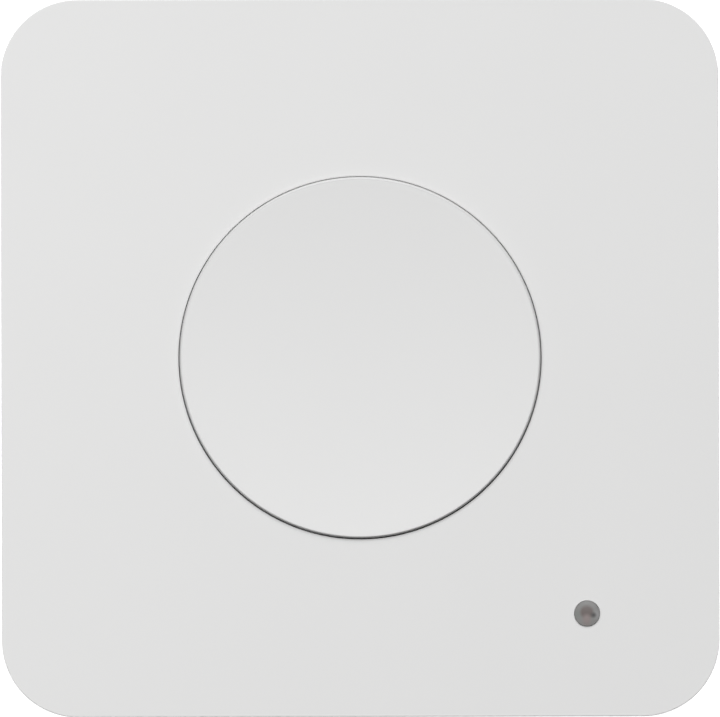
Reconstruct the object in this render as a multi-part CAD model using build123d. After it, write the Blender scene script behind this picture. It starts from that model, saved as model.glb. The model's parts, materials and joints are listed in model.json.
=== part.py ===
"""A square smart home hub with one large round push button and a small status lamp.

It lies on a table on four rubber feet, with its face up. All sizes are in millimetres.
The origin is at the middle of the footprint, on the surface that the feet stand on.
+Z points up out of the face, +Y points to the rear edge, where the sockets are.
"""

from build123d import *

import os
from math import cos, radians, sin

# Body
BODY = 90.0  # side of the square body at the bottom of its skirt
DRAFT = 0.2  # each side leans in by this much from the skirt to the face
CORNER_R = 9.6
EDGE_R = 0.12  # round between the face and the sides
WALL = 2.0
FACE_HIGH = 26.0
CEILING = FACE_HIGH - WALL
INSIDE = BODY - 2 * WALL
SKIRT_LOW = 2.4
RIB_DEPTH = 1.4

# Base
BASE_LOW = 1.0  # the feet lift the base by this much
PLINTH = 88.4
PLINTH_HIGH = 2.0  # a shadow gap stays between the plinth and the skirt
FLOOR_HIGH = 3.0
TRAY = INSIDE - 0.3
LIP = 1.4
LIP_HIGH = 6.0
FOOT = (16.0, 7.0)
FOOT_AT = (24.0, 37.0)
FOOT_RECESS = 0.5
CASE_SCREW_AT = 36.5
KEYHOLE_AT = (25.0, 6.0)
KEYHOLE_R = 4.0
KEYHOLE_SLOT_R = 2.1
KEYHOLE_RUN = 7.0
LABEL = (45.4, 21.4)
LABEL_AT = (0.0, -10.0)

# Main circuit board
BOARD_LOW = 6.5
BOARD_HIGH = 8.1
BOARD_HALF = 41.2
BOARD_REAR = 41.5
BOARD_SCREW_AT = (37.0, 24.0)
NOTCH_FROM = 32.9  # the corner notches make room for the case's screw bosses
PIN_TAIL = 0.8  # how far a pin stands out under the board

# Push button
BUTTON_R = 22.57
BUTTON_AT = (0.0, 0.04)  # the cap sits a little behind the middle of its opening
BUTTON_GAP = 0.08  # the opening guides the button's rim
BUTTON_HIGH = FACE_HIGH + 0.4  # the button's rim stands a little proud of the face
BUTTON_RIM = (0.3, 0.6)  # width and drop of the rounded rim
OPENING_R = BUTTON_R + BUTTON_GAP
OPENING_RIM_R = 0.1
DISH_DEPTH = 0.6
BUTTON_TRAVEL = 1.0
BUTTON_CEILING = 23.7
SKIRT_IN_R = 20.9
FLANGE_R = 24.2
FLANGE_HIGH = 21.6
FLANGE_LOW = 20.4
COLLAR_R = 24.6
COLLAR_LOW = FLANGE_HIGH + 0.1  # the flange stops under the collar
POST_ANGLES = (30, 150, 270)
POST_AT_R = 16.0
POST_R = 1.45
STEM_R = 2.8

# Button carrier, a plate screwed up under the face
CARRIER_LOW = 15.6
CARRIER_HIGH = 17.2
CARRIER_R = 26.2
EAR_ANGLES = (90, 210, 330)
EAR_AT_R = 29.5
EAR_R = 3.4
SPRING_LOW = 17.0
SPRING_HIGH = 23.0
SPRING_R = 1.9
SPRING_WIRE_R = 0.2
SPRING_PITCH = 0.98

# Long-stroke switch under the button
SWITCH = 12.0
SWITCH_COVER_LOW = 11.4
SWITCH_COVER_HIGH = 11.7
PLUNGER_HIGH = 13.4
DOME_LOW = 8.7
DOME_HIGH = 10.0

# Sockets in the rear wall
PANEL_FRONT = 44.2
PANEL_HALF = 24.85
PANEL_HIGH = 22.4
ETHERNET_X = -13.0
ETHERNET_FRONT = 44.6
ETHERNET_SIZE = (16.0, 15.8, 13.4)
ETHERNET_PITCH = 1.02
INLET_X = 7.0
INLET_FRONT = 44.5
INLET_SIZE = (8.94, 7.35, 3.26)
INLET_Z = BOARD_HIGH + 0.05 + INLET_SIZE[2] / 2
RESET_X = 18.0
RESET_Z = 11.1
RESET_TRAVEL = 0.3
RESET_FOOT_Y = 36.5  # inner end of the reset plunger at rest

# Status lamp, a 3 mm class round lamp whose low dome fills a hole in the face
LAMP_AT = (28.27, -31.95)
LAMP_R = 1.55
LAMP_HOLE_R = 1.6
LAMP_HIGH = 26.4
LAMP_DOME = 0.25  # height of the dome on top of the lamp's round barrel
LAMP_LOW = 20.45
LAMP_COLLAR_R = 1.9
LAMP_PITCH = 2.54

# Radios, each with its board's width, depth and thickness
MESH_BOARD = (23.0, 15.0, 0.9)
MESH_AT = (29.0, -4.5)
WLAN_BOARD = (14.0, 18.0, 0.9)
WLAN_AT = (-20.0, -31.5)

# Chips and small parts on the main board
PROCESSOR = (12.0, 12.0, 1.1)
PROCESSOR_AT = (-21.0, -6.0)
MEMORY = (10.0, 5.6, 0.9)
MEMORY_AT = (-21.0, -15.5)
THERMAL_PAD = 10.0
SHIELD = (26.0, 28.0, 2.4)  # the fence and lid over the processor and its memory
SHIELD_SHEET = 0.2
FLASH = (5.3, 5.3, 1.8)
FLASH_AT = (2.0, -17.0)
TRANSFORMER = (9.4, 12.6, 3.4)
TRANSFORMER_AT = (-13.0, 21.5)
NETWORK_CHIP = (7.0, 7.0, 0.9)
NETWORK_CHIP_AT = (-31.0, 17.0)
CONVERTER = (3.0, 3.0, 0.9)
CONVERTER_X = 6.0
INDUCTOR = 5.4
INDUCTOR_X = 12.0
SUPPLY_ROWS = (27.0, 17.5)  # each converter has its inductor beside it
CAN_R = 3.15
CAN_PLACES = ((21.0, 26.0), (29.5, 26.0), (21.0, 17.0))
LEG_PITCH = 1.27
LEG_WIDTH = 0.42
HEADER_X = -38.4
HEADER_Y = -5.0


# ---------------------------------------------------------------- helpers


def slab(width, depth, radius, low, high, at=(0, 0)):
    """A block with rounded upright corners, between two heights."""
    outline = Pos(at[0], at[1], low) * RectangleRounded(width, depth, radius)
    return extrude(outline, high - low)


def rod(radius, low, high, at=(0, 0)):
    """An upright cylinder between two heights."""
    seat = (Align.CENTER, Align.CENTER, Align.MIN)
    return Pos(at[0], at[1], low) * Cylinder(radius, high - low, align=seat)


def ring(outer, inner, low, high, at=(0, 0)):
    """An upright tube between two heights."""
    return rod(outer, low, high, at) - rod(inner, low, high, at)


def block(x, y, z):
    """A box from its range along each axis."""
    corner = (Align.MIN, Align.MIN, Align.MIN)
    return Pos(x[0], y[0], z[0]) * Box(x[1] - x[0], y[1] - y[0], z[1] - z[0], align=corner)


def chip(size, at, low=BOARD_HIGH):
    """A box of this size that stands at a height, centred on a place."""
    return block(
        (at[0] - size[0] / 2, at[0] + size[0] / 2),
        (at[1] - size[1] / 2, at[1] + size[1] / 2),
        (low, low + size[2]),
    )


def port(width, height, radius, x, z, rear, front):
    """A prism along Y with a rounded outline, from rear to front, centred on x and z."""
    plane = Plane(origin=(x, rear, z), x_dir=(1, 0, 0), z_dir=(0, 1, 0))
    return extrude(plane * RectangleRounded(width, height, radius), front - rear)


def rod_y(radius, x, z, rear, front):
    """A cylinder along Y, from rear to front."""
    plane = Plane(origin=(x, rear, z), x_dir=(1, 0, 0), z_dir=(0, 1, 0))
    return extrude(plane * Circle(radius), front - rear)


def around(radius, degrees):
    """The point at this radius and angle about the middle."""
    return radius * cos(radians(degrees)), radius * sin(radians(degrees))


def corners(x, y):
    """The four mirror images of a point."""
    return [(sx * x, sy * y) for sx in (-1, 1) for sy in (-1, 1)]


def group(solids):
    """Several separate solids as one node."""
    return Compound([s for shape in solids for s in shape.solids()])


def turned(points):
    """A solid turned about the Z axis from an outline of (radius, height) points."""
    outline = Polyline(*[(r, 0, z) for r, z in points], close=True)
    return revolve(make_face(outline), Axis.Z)


def screw(head_r, head_high, thread_r, length, pitch):
    """A pan-head screw for plastic: the head is under the origin and the thread is along +Z."""
    core_r = 0.72 * thread_r
    points = [(0, -0.2), (core_r, -0.2)]
    for turn in range(int(0.8 * length / pitch)):
        foot = (turn + 0.5) * pitch
        points += [(core_r, foot), (thread_r, foot + 0.35 * pitch), (core_r, foot + 0.7 * pitch)]
    points += [(core_r, 0.88 * length), (0.3 * core_r, length), (0, length)]
    head = rod(head_r, -head_high, 0)
    head = fillet(head.faces().sort_by(Axis.Z)[0].edges(), 0.45 * head_high)
    deep = (-head_high - 0.1, -0.35 * head_high)
    arm, half = 0.55 * head_r, 0.12 * head_r
    cross = block((-arm, arm), (-half, half), deep) + block((-half, half), (-arm, arm), deep)
    return head - cross + turned(points)


# ---------------------------------------------------------------- case


def top_cover():
    """The white shell with the face, the four sides and every boss that hangs from the face."""
    face_side = BODY - 2 * DRAFT
    skirt = Pos(0, 0, SKIRT_LOW) * RectangleRounded(BODY, BODY, CORNER_R + DRAFT)
    rim = Pos(0, 0, FACE_HIGH) * RectangleRounded(face_side, face_side, CORNER_R)
    shell = loft([skirt, rim])
    shell = fillet(shell.faces().sort_by(Axis.Z)[-1].edges(), EDGE_R)
    shell -= slab(INSIDE, INSIDE, CORNER_R - WALL, SKIRT_LOW, CEILING)
    shell += cover_ribs()
    for place in corners(CASE_SCREW_AT, CASE_SCREW_AT):
        shell += rod(3.2, LIP_HIGH + 0.1, CEILING, place)
        shell -= rod(1.55, LIP_HIGH + 0.1, LIP_HIGH + 12, place)
    for angle in EAR_ANGLES:
        place = around(EAR_AT_R, angle)
        shell += rod(2.6, CARRIER_HIGH + 0.1, CEILING, place)
        shell -= rod(1.05, CARRIER_HIGH + 0.1, CEILING - 1.5, place)
    shell += ring(COLLAR_R, OPENING_R, COLLAR_LOW, CEILING)
    shell += ring(3.2, 2.15, LAMP_LOW + 0.2, CEILING, LAMP_AT)
    shell -= port(50, 44, 1.6, 0, 0.6, INSIDE / 2 - 1, BODY / 2 + 1)
    shell -= opening_with_rounded_rim()
    shell -= lamp_hole()
    return shell


def cover_ribs():
    """Low stiffening ribs from the button's collar to the walls, under the face."""
    low, half, reach = CEILING - RIB_DEPTH, 0.6, INSIDE / 2 + 0.5
    ribs = []
    for angle in (0, 45, 135, 180, 225, 315):
        long = reach if angle % 90 == 0 else CASE_SCREW_AT * 2**0.5
        rib = block((COLLAR_R - 0.5, long), (-half, half), (low, CEILING + 0.1))
        ribs.append(Rot(0, 0, angle) * rib)
    return ribs


def opening_with_rounded_rim():
    """The tool that cuts the button's opening and rounds its upper rim."""
    foot = COLLAR_LOW - 1
    over = FACE_HIGH + 1
    rim_start = (OPENING_R, FACE_HIGH - OPENING_RIM_R)
    rim_end = (OPENING_R + OPENING_RIM_R, FACE_HIGH)
    with BuildSketch(Plane.XZ) as outline:
        with BuildLine():
            Polyline((0, foot), (OPENING_R, foot), rim_start)
            RadiusArc(rim_start, rim_end, OPENING_RIM_R)
            Polyline(rim_end, (rim_end[0], over), (0, over), (0, foot))
        make_face()
    return revolve(outline.sketch, Axis.Z)


def lamp_hole():
    """The tool that cuts the lamp's hole, with a small bevel at its mouth."""
    bevel = 0.04
    profile = [
        (0, CEILING - 0.1),
        (LAMP_HOLE_R, CEILING - 0.1),
        (LAMP_HOLE_R, FACE_HIGH - bevel),
        (LAMP_HOLE_R + 2 * bevel, FACE_HIGH + bevel),
        (0, FACE_HIGH + bevel),
    ]
    return Pos(*LAMP_AT, 0) * turned(profile)


def base_cover():
    """The tray under the hub, with its vents, foot recesses, wall keyholes and screw posts."""
    plinth = slab(PLINTH, PLINTH, CORNER_R - 0.8, BASE_LOW, PLINTH_HIGH)
    base = chamfer(plinth.faces().sort_by(Axis.Z)[0].edges(), 0.6)
    base += slab(TRAY, TRAY, CORNER_R - WALL - 0.15, BASE_LOW, FLOOR_HIGH)
    lip = slab(TRAY, TRAY, CORNER_R - WALL - 0.15, FLOOR_HIGH, LIP_HIGH)
    lip -= slab(TRAY - 2 * LIP, TRAY - 2 * LIP, CORNER_R - WALL - LIP, FLOOR_HIGH, LIP_HIGH)
    base += lip - block((-27.6, 27.6), (38, 44), (FLOOR_HIGH, LIP_HIGH))
    for side in (-1, 1):
        base += block((side * 23 - 1, side * 23 + 1), (40.2, 41.7), (FLOOR_HIGH, LIP_HIGH + 0.3))
        base += block((side * 12 - 0.6, side * 12 + 0.6), (-38, 14), (FLOOR_HIGH, FLOOR_HIGH + 1.6))
    for place in corners(*BOARD_SCREW_AT):
        base += rod(2.9, FLOOR_HIGH, BOARD_LOW, place)
        base -= rod(1.3, FLOOR_HIGH + 0.6, BOARD_LOW, place)
    for place in corners(CASE_SCREW_AT, CASE_SCREW_AT):
        base += rod(4.2, FLOOR_HIGH, LIP_HIGH, place)
        base -= rod(3.1, BASE_LOW, LIP_HIGH - 2, place)
        base -= rod(1.65, BASE_LOW, LIP_HIGH, place)
    for place in corners(*FOOT_AT):
        recess = (FOOT[0] + 0.4, FOOT[1] + 0.4, FOOT[1] / 2)
        base -= slab(*recess, BASE_LOW, BASE_LOW + FOOT_RECESS, place)
    for side in (-1, 1):
        base += keyhole_pocket(side)
        base -= keyhole(side)
    for place, length in vent_places():
        base -= slab(1.8, length, 0.89, BASE_LOW, FLOOR_HIGH, place)
    base -= slab(LABEL[0] + 0.6, LABEL[1] + 0.6, 1.5, BASE_LOW, BASE_LOW + 0.2, LABEL_AT)
    return base


def vent_places():
    """Where the cooling slots are, and how long each one is."""
    rear = [((4.0 * i, 26.0), 12.0) for i in range(-4, 5)]
    front = [((4.0 * i, -31.0), 9.0) for i in range(-2, 3)]
    return rear + front


def keyhole(side):
    """The tool that cuts one wall keyhole and the room for a screw head behind it."""
    x, y = side * KEYHOLE_AT[0], KEYHOLE_AT[1]
    cut = rod(KEYHOLE_R, BASE_LOW, FLOOR_HIGH, (x, y))
    slot = slab(2 * KEYHOLE_SLOT_R, KEYHOLE_RUN + 2 * KEYHOLE_SLOT_R, KEYHOLE_SLOT_R - 0.01,
                BASE_LOW, FLOOR_HIGH, (x, y + KEYHOLE_RUN / 2))
    room = slab(9.2, 15.8, 4.5, FLOOR_HIGH, LIP_HIGH - 0.8, (x, y + KEYHOLE_RUN / 2))
    return cut + slot + room


def keyhole_pocket(side):
    """The closed box over a keyhole, which keeps a screw head away from the board."""
    x, y = side * KEYHOLE_AT[0], KEYHOLE_AT[1] + KEYHOLE_RUN / 2
    return slab(11.6, 18.2, 5.6, FLOOR_HIGH, LIP_HIGH + 0.2, (x, y))


def port_panel():
    """The plate that closes the rear wall around the sockets, held by a flange behind the wall."""
    middle = (2.3 + PANEL_HIGH) / 2
    panel = port(2 * PANEL_HALF, PANEL_HIGH - 2.3, 1.5, 0, middle, INSIDE / 2 - 0.1, PANEL_FRONT)
    panel += block((-26.4, 26.4), (41.8, INSIDE / 2 - 0.1), (FLOOR_HIGH + 0.1, CEILING - 0.3))
    rear, front = 41, 45
    jack = ETHERNET_SIZE
    low, high = BOARD_HIGH - 0.1, BOARD_HIGH + jack[2] + 0.2
    middle = (low + high) / 2
    panel -= port(jack[0] + 0.4, high - low, 0.3, ETHERNET_X, middle, rear, front)
    inlet_high = INLET_SIZE[2] + 0.5
    panel -= port(INLET_SIZE[0] + 0.5, inlet_high, inlet_high / 2 - 0.01, INLET_X, INLET_Z, rear, front)
    panel -= rod_y(1.1, RESET_X, RESET_Z, rear, front)
    mouth = Plane(origin=(RESET_X, PANEL_FRONT, RESET_Z), x_dir=(1, 0, 0), z_dir=(0, -1, 0))
    panel -= extrude(mouth * Circle(1.7), 0.6, taper=40)
    return panel


def rubber_feet():
    """Four long feet, glued into the recesses of the base."""
    feet = []
    for place in corners(*FOOT_AT):
        foot = slab(FOOT[0], FOOT[1], FOOT[1] / 2 - 0.01, 0, BASE_LOW + FOOT_RECESS, place)
        feet.append(fillet(foot.faces().sort_by(Axis.Z)[0].edges(), 0.4))
    return group(feet)


def rating_label():
    """A blank label in the recess under the base."""
    return slab(*LABEL, 1.2, BASE_LOW + 0.05, BASE_LOW + 0.2, LABEL_AT)


def case_screws():
    """Four screws that hold the base to the top cover."""
    model = screw(2.8, 2.1, 1.45, 11, 1.1)
    return group(Pos(*place, LIP_HIGH - 2) * model for place in corners(CASE_SCREW_AT, CASE_SCREW_AT))


# ---------------------------------------------------------------- push button


def centre_button():
    """The dished cap with its skirt, stop flange, stem and three guide posts."""
    rim_wide, rim_drop = BUTTON_RIM
    dish_r = BUTTON_R - rim_wide
    dish_low = (0, BUTTON_HIGH - DISH_DEPTH)
    rim_start = (dish_r, BUTTON_HIGH)
    rim_middle = (dish_r + rim_wide * sin(radians(45)), BUTTON_HIGH - rim_drop * (1 - cos(radians(45))))
    rim_end = (BUTTON_R, BUTTON_HIGH - rim_drop)
    with BuildSketch(Plane.XZ) as outline:
        with BuildLine():
            ThreePointArc(dish_low, (dish_r / 2, BUTTON_HIGH - 0.75 * DISH_DEPTH), rim_start)
            ThreePointArc(rim_start, rim_middle, rim_end)
            Polyline(
                rim_end,
                (BUTTON_R, FLANGE_HIGH),
                (FLANGE_R, FLANGE_HIGH),
                (FLANGE_R, FLANGE_LOW),
                (SKIRT_IN_R, FLANGE_LOW),
                (SKIRT_IN_R, BUTTON_CEILING),
                (0, BUTTON_CEILING),
                dish_low,
            )
        make_face()
    button = Pos(*BUTTON_AT, 0) * revolve(outline.sketch, Axis.Z)
    into = BUTTON_CEILING + 0.2
    stem = rod(STEM_R, PLUNGER_HIGH + 0.05, into)
    button += chamfer(stem.faces().sort_by(Axis.Z)[0].edges(), 0.4)
    for angle in POST_ANGLES:
        place = around(POST_AT_R, angle)
        post = rod(POST_R, CARRIER_LOW - 1.2, into, place)
        button += chamfer(post.faces().sort_by(Axis.Z)[0].edges(), 0.3)
        button += rod(3.0, SPRING_HIGH, into, place)
        button += Rot(0, 0, angle) * block((1, POST_AT_R), (-0.6, 0.6), (BUTTON_CEILING - 0.6, into))
        tab = block((FLANGE_R - 0.4, FLANGE_R + 1.4), (-2, 2), (FLANGE_LOW, FLANGE_HIGH))
        button += Rot(0, 0, angle) * tab
        web = block((SKIRT_IN_R - 3, SKIRT_IN_R + 0.4), (-0.6, 0.6), (FLANGE_LOW + 0.6, into))
        button += Rot(0, 0, angle + 60) * web
    return button


def button_carrier():
    """The plate that guides the button's stem and posts and carries its springs."""
    plate = rod(CARRIER_R, CARRIER_LOW, CARRIER_HIGH)
    plate += ring(CARRIER_R, 24.8, CARRIER_HIGH, CEILING - RIB_DEPTH - 0.2)
    plate += ring(24.8, 20.6, CARRIER_HIGH, CARRIER_HIGH + 1.2)
    plate += rod(5.2, CARRIER_LOW - 1, CARRIER_HIGH + 1.6)
    for angle in EAR_ANGLES:
        place = around(EAR_AT_R, angle)
        plate += rod(EAR_R, CARRIER_LOW, CARRIER_HIGH, place)
        arm = block((24, EAR_AT_R), (-EAR_R, EAR_R), (CARRIER_LOW, CARRIER_HIGH))
        plate += Rot(0, 0, angle) * arm
        plate -= rod(1.15, CARRIER_LOW, CARRIER_HIGH, place)
        plate -= rod(6.6, CARRIER_LOW, CARRIER_HIGH, around(13.2, angle))
    for angle in POST_ANGLES:
        place = around(POST_AT_R, angle)
        plate += rod(3.6, CARRIER_LOW, CARRIER_HIGH + 1.4, place)
        plate -= rod(2.5, SPRING_LOW, CARRIER_HIGH + 1.4, place)
        plate -= rod(POST_R + 0.2, CARRIER_LOW, SPRING_LOW, place)
        slot = block((24.2, CARRIER_R + 1), (-2.4, 2.4), (CARRIER_HIGH + 1.7, CEILING))
        plate -= Rot(0, 0, angle) * slot
    return plate - rod(STEM_R + 0.2, CARRIER_LOW - 1, CARRIER_HIGH + 1.6)


def button_bumper_ring():
    """The soft ring that the button's skirt lands on when it is pushed right down."""
    low = CARRIER_HIGH + 1.2
    high = FLANGE_LOW - BUTTON_TRAVEL - 0.05
    return ring(24.0, 21.0, low, high)


def carrier_screws():
    """Three small screws that hold the carrier up to the face's bosses."""
    model = screw(1.9, 1.3, 0.95, 5.5, 0.8)
    return group(Pos(*around(EAR_AT_R, a), CARRIER_LOW) * model for a in EAR_ANGLES)


def return_spring(angle):
    """One coil spring around a guide post."""
    low, high = SPRING_LOW + SPRING_WIRE_R, SPRING_HIGH - SPRING_WIRE_R
    coil = Helix(SPRING_PITCH, high - low - 0.02, SPRING_R)
    section = Plane(origin=coil @ 0, z_dir=coil % 0) * Circle(SPRING_WIRE_R)
    spring = sweep(section, path=coil, is_frenet=True)
    return Pos(*around(POST_AT_R, angle), low + 0.01) * spring


# ---------------------------------------------------------------- switch under the button


def switch_pins():
    """Where the button switch's four legs go through the board."""
    return corners(SWITCH / 2 + 0.25, 2.5)


def press_switch_base():
    """The switch's moulded body, open at the top for the plunger."""
    body = slab(SWITCH, SWITCH, 0.6, BOARD_HIGH, SWITCH_COVER_LOW)
    return body - rod(4.3, DOME_LOW, SWITCH_COVER_LOW)


def press_switch_cover():
    """The thin steel plate over the switch, with clips down two of its sides."""
    plate = slab(SWITCH, SWITCH, 0.6, SWITCH_COVER_LOW, SWITCH_COVER_HIGH)
    half = SWITCH / 2
    for side in (-1, 1):
        outside = sorted((side * half, side * (half + 0.25)))
        plate += block((-2, 2), outside, (BOARD_HIGH + 0.8, SWITCH_COVER_HIGH))
    return plate - rod(3.5, SWITCH_COVER_LOW, SWITCH_COVER_HIGH)


def press_switch_plunger():
    """The moving plunger: a pin that the button's stem pushes, on a wide foot."""
    pin = rod(3.3, SWITCH_COVER_LOW - 0.1, PLUNGER_HIGH)
    pin = chamfer(pin.faces().sort_by(Axis.Z)[-1].edges(), 0.3)
    return pin + rod(4.1, DOME_HIGH, SWITCH_COVER_LOW - 0.1)


def press_switch_dome():
    """The rubber dome that pushes the plunger back up."""
    outer = [(0, DOME_HIGH), (1.6, DOME_HIGH), (3.6, DOME_LOW + 0.3), (3.9, DOME_LOW + 0.3), (3.9, DOME_LOW)]
    inner = [(3.2, DOME_LOW), (1.3, DOME_HIGH - 0.35), (0, DOME_HIGH - 0.35)]
    return turned(outer + inner)


def press_switch_terminals():
    """Four flat legs from the switch's sides down through the board."""
    legs = []
    for x, y in switch_pins():
        span = (BOARD_LOW - PIN_TAIL, BOARD_HIGH + 1.6)
        legs.append(block((x - 0.2, x + 0.2), (y - 0.4, y + 0.4), span))
    return group(legs)


# ---------------------------------------------------------------- main board


def main_board():
    """The circuit board, with notches for the case bosses and a hole for every pin."""
    middle = (BOARD_REAR - BOARD_HALF) / 2
    board = slab(2 * BOARD_HALF, BOARD_REAR + BOARD_HALF, 1.5, BOARD_LOW, BOARD_HIGH, (0, middle))
    reach = 12.0
    for sx, sy in corners(1, 1):
        place = (sx * (NOTCH_FROM + reach / 2), sy * (NOTCH_FROM + reach / 2))
        board -= slab(reach, reach, 3.0, BOARD_LOW, BOARD_HIGH, place)
    for place in corners(*BOARD_SCREW_AT):
        board -= rod(1.4, BOARD_LOW, BOARD_HIGH, place)
    for place, radius in board_holes():
        board -= rod(radius, BOARD_LOW, BOARD_HIGH, place)
    return board


def board_holes():
    """Every pin's place on the board, with its hole's radius."""
    holes = [(place, 0.7) for place in switch_pins()]
    holes += [(place, 0.5) for place in ethernet_pins()]
    holes += [(place, 0.9) for place in ethernet_tabs()]
    holes += [(place, 0.6) for place in inlet_tabs()]
    holes += [(place, 0.6) for place in reset_pins()]
    holes += [(place, 0.5) for place in lamp_pins()]
    holes += [(place, 0.55) for place in header_pins()]
    return holes


def board_screws():
    """Four screws that hold the board to the base."""
    model = Rot(180, 0, 0) * screw(2.3, 1.5, 1.2, 4.3, 0.9)
    return group(Pos(*place, BOARD_HIGH) * model for place in corners(*BOARD_SCREW_AT))


# ---------------------------------------------------------------- Ethernet socket


def ethernet_pins():
    """Where the socket's eight contacts go through the board, in two rows."""
    row = ETHERNET_FRONT - 10.2
    return [(ETHERNET_X + (i - 3.5) * ETHERNET_PITCH, row - 2.0 * (i % 2)) for i in range(8)]


def ethernet_tabs():
    """Where the shield's two solder tabs go through the board."""
    half = ETHERNET_SIZE[0] / 2 - 0.125
    return [(ETHERNET_X + side * half, ETHERNET_FRONT - 7) for side in (-1, 1)]


def ethernet_mouth(grow, rear):
    """The prism that a plug fills: its body, and its latch above."""
    x, z, front = ETHERNET_X, BOARD_HIGH, ETHERNET_FRONT + 1
    body = block((x - 5.95 - grow, x + 5.95 + grow), (rear, front), (z + 2.6 - grow, z + 9.3 + grow))
    return body + block((x - 3.2 - grow, x + 3.2 + grow), (rear, front), (z + 9.2, z + 11.3 + grow))


def ethernet_windows(grow, rear, front):
    """The two lamp windows, one each side of the latch."""
    z = BOARD_HIGH
    windows = []
    for side in (-1, 1):
        x = sorted((ETHERNET_X + side * (4.1 - grow), ETHERNET_X + side * (7.1 + grow)))
        windows.append(block(x, (rear, front), (z + 10.1 - grow, z + 12.3 + grow)))
    return windows


def ethernet_housing():
    """The socket's moulded insert, with the plug's cavity and a groove for each contact."""
    wide, deep, high = ETHERNET_SIZE
    x, y, z = ETHERNET_X, ETHERNET_FRONT, BOARD_HIGH
    body = block((x - wide / 2 + 0.3, x + wide / 2 - 0.3), (y - deep + 0.3, y - 0.3), (z, z + high - 0.3))
    body -= ethernet_mouth(0, y - 12.5)
    for window in ethernet_windows(0.02, y - 6.02, y):
        body -= window
    for px, py in ethernet_pins():
        body -= block((px - 0.25, px + 0.25), (py - 0.25, y - 1.6), (z + 1.8, z + 2.7))
        body -= block((px - 0.25, px + 0.25), (py - 0.25, py + 0.25), (z - 0.1, z + 2))
    return body


def ethernet_shield():
    """The folded steel can around the socket, open below, with spring fingers and two tabs."""
    wide, deep, high = ETHERNET_SIZE
    x, y, z = ETHERNET_X, ETHERNET_FRONT, BOARD_HIGH
    sheet = 0.25
    can = block((x - wide / 2, x + wide / 2), (y - deep, y), (z, z + high))
    inside = wide / 2 - sheet
    can -= block((x - inside, x + inside), (y - deep + sheet, y - sheet), (z - 1, z + high - sheet))
    can -= ethernet_mouth(0.15, y - 2)
    for window in ethernet_windows(0.1, y - 2, y + 1):
        can -= window
    for px, py in ethernet_tabs():
        can += block((px - 0.125, px + 0.125), (py - 0.7, py + 0.7), (BOARD_LOW - PIN_TAIL, z + 0.5))
    for side in (-1, 1):
        outside = sorted((x + side * wide / 2, x + side * (wide / 2 + 0.35)))
        can += block(outside, (y - 5.5, y - 3.2), (z + 5.2, z + 7.6))
    return can


def ethernet_contacts():
    """Eight gold contact wires: a springy slope in the cavity and a pin through the board."""
    contacts = []
    half, wire = 0.18, 0.32
    level = BOARD_HIGH + 1.95  # underside of the level stretch that leads back to the pin
    peak = BOARD_HIGH + 5.4
    front = ETHERNET_FRONT - 2.2
    for px, py in ethernet_pins():
        pin = (py - wire / 2, py + wire / 2)
        line = [
            (front, level),
            (pin[1], level),
            (pin[1], BOARD_LOW - PIN_TAIL),
            (pin[0], BOARD_LOW - PIN_TAIL),
            (pin[0], level + wire),
            (front - 0.9, level + wire),
            (front - 8.4, peak),
            (front - 8.3, peak + wire),
            (front, level + 1.1 * wire),
        ]
        outline = make_face(Polyline(*[(px - half, y, h) for y, h in line], close=True))
        contacts.append(extrude(outline, amount=2 * half, dir=(1, 0, 0)))
    return group(contacts)


def ethernet_lights():
    """Two small light pipes that show the link's state."""
    return group(ethernet_windows(0, ETHERNET_FRONT - 6, ETHERNET_FRONT - 0.1))


# ---------------------------------------------------------------- power inlet


def inlet_tabs():
    """Where the inlet's four solder tabs go through the board."""
    half = INLET_SIZE[0] / 2 - 0.15
    return [(INLET_X + side * half, INLET_FRONT - back) for side in (-1, 1) for back in (4.1, 6.6)]


def power_inlet_shell():
    """The flat oval steel tube of the power inlet, with four tabs down through the board."""
    wide, deep, high = INLET_SIZE
    rear = INLET_FRONT - deep
    shell = port(wide, high, high / 2 - 0.01, INLET_X, INLET_Z, rear, INLET_FRONT)
    shell -= port(wide - 0.6, high - 0.6, high / 2 - 0.31, INLET_X, INLET_Z, rear, INLET_FRONT)
    for px, py in inlet_tabs():
        side = 1 if px > INLET_X else -1
        x = sorted((px - side * 0.15, px + side * 0.15))
        shell += block(x, (py - 0.5, py + 0.5), (BOARD_LOW - PIN_TAIL, INLET_Z))
    return shell


def power_inlet_tongue():
    """The inlet's insulator: a plug at the back and a thin tongue in the middle."""
    wide, deep, high = INLET_SIZE
    rear = INLET_FRONT - deep
    back = port(wide - 0.62, high - 0.62, high / 2 - 0.32, INLET_X, INLET_Z, rear, rear + 1.2)
    return back + port(6.69, 0.7, 0.2, INLET_X, INLET_Z, rear, INLET_FRONT - 0.7)


def power_inlet_contacts():
    """Twelve gold strips on each side of the tongue."""
    rear, front = INLET_FRONT - 5.6, INLET_FRONT - 1.2
    strips = []
    for i in range(12):
        x = INLET_X + (i - 5.5) * 0.5
        for z in (INLET_Z + 0.35, INLET_Z - 0.4):
            strips.append(block((x - 0.13, x + 0.13), (rear, front), (z, z + 0.05)))
    return group(strips)


# ---------------------------------------------------------------- reset switch


def reset_pins():
    """Where the reset switch's two legs go through the board."""
    return [(RESET_X + side * 2.25, 36.2) for side in (-1, 1)]


def reset_switch_body():
    """The body of the sideways reset switch, hollow around its plunger's foot."""
    x = RESET_X
    body = block((x - 3, x + 3), (34.6, 38.0), (BOARD_HIGH, BOARD_HIGH + 6))
    return body - rod_y(2.2, x, RESET_Z, RESET_FOOT_Y - RESET_TRAVEL - 0.2, 38.0)


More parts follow.
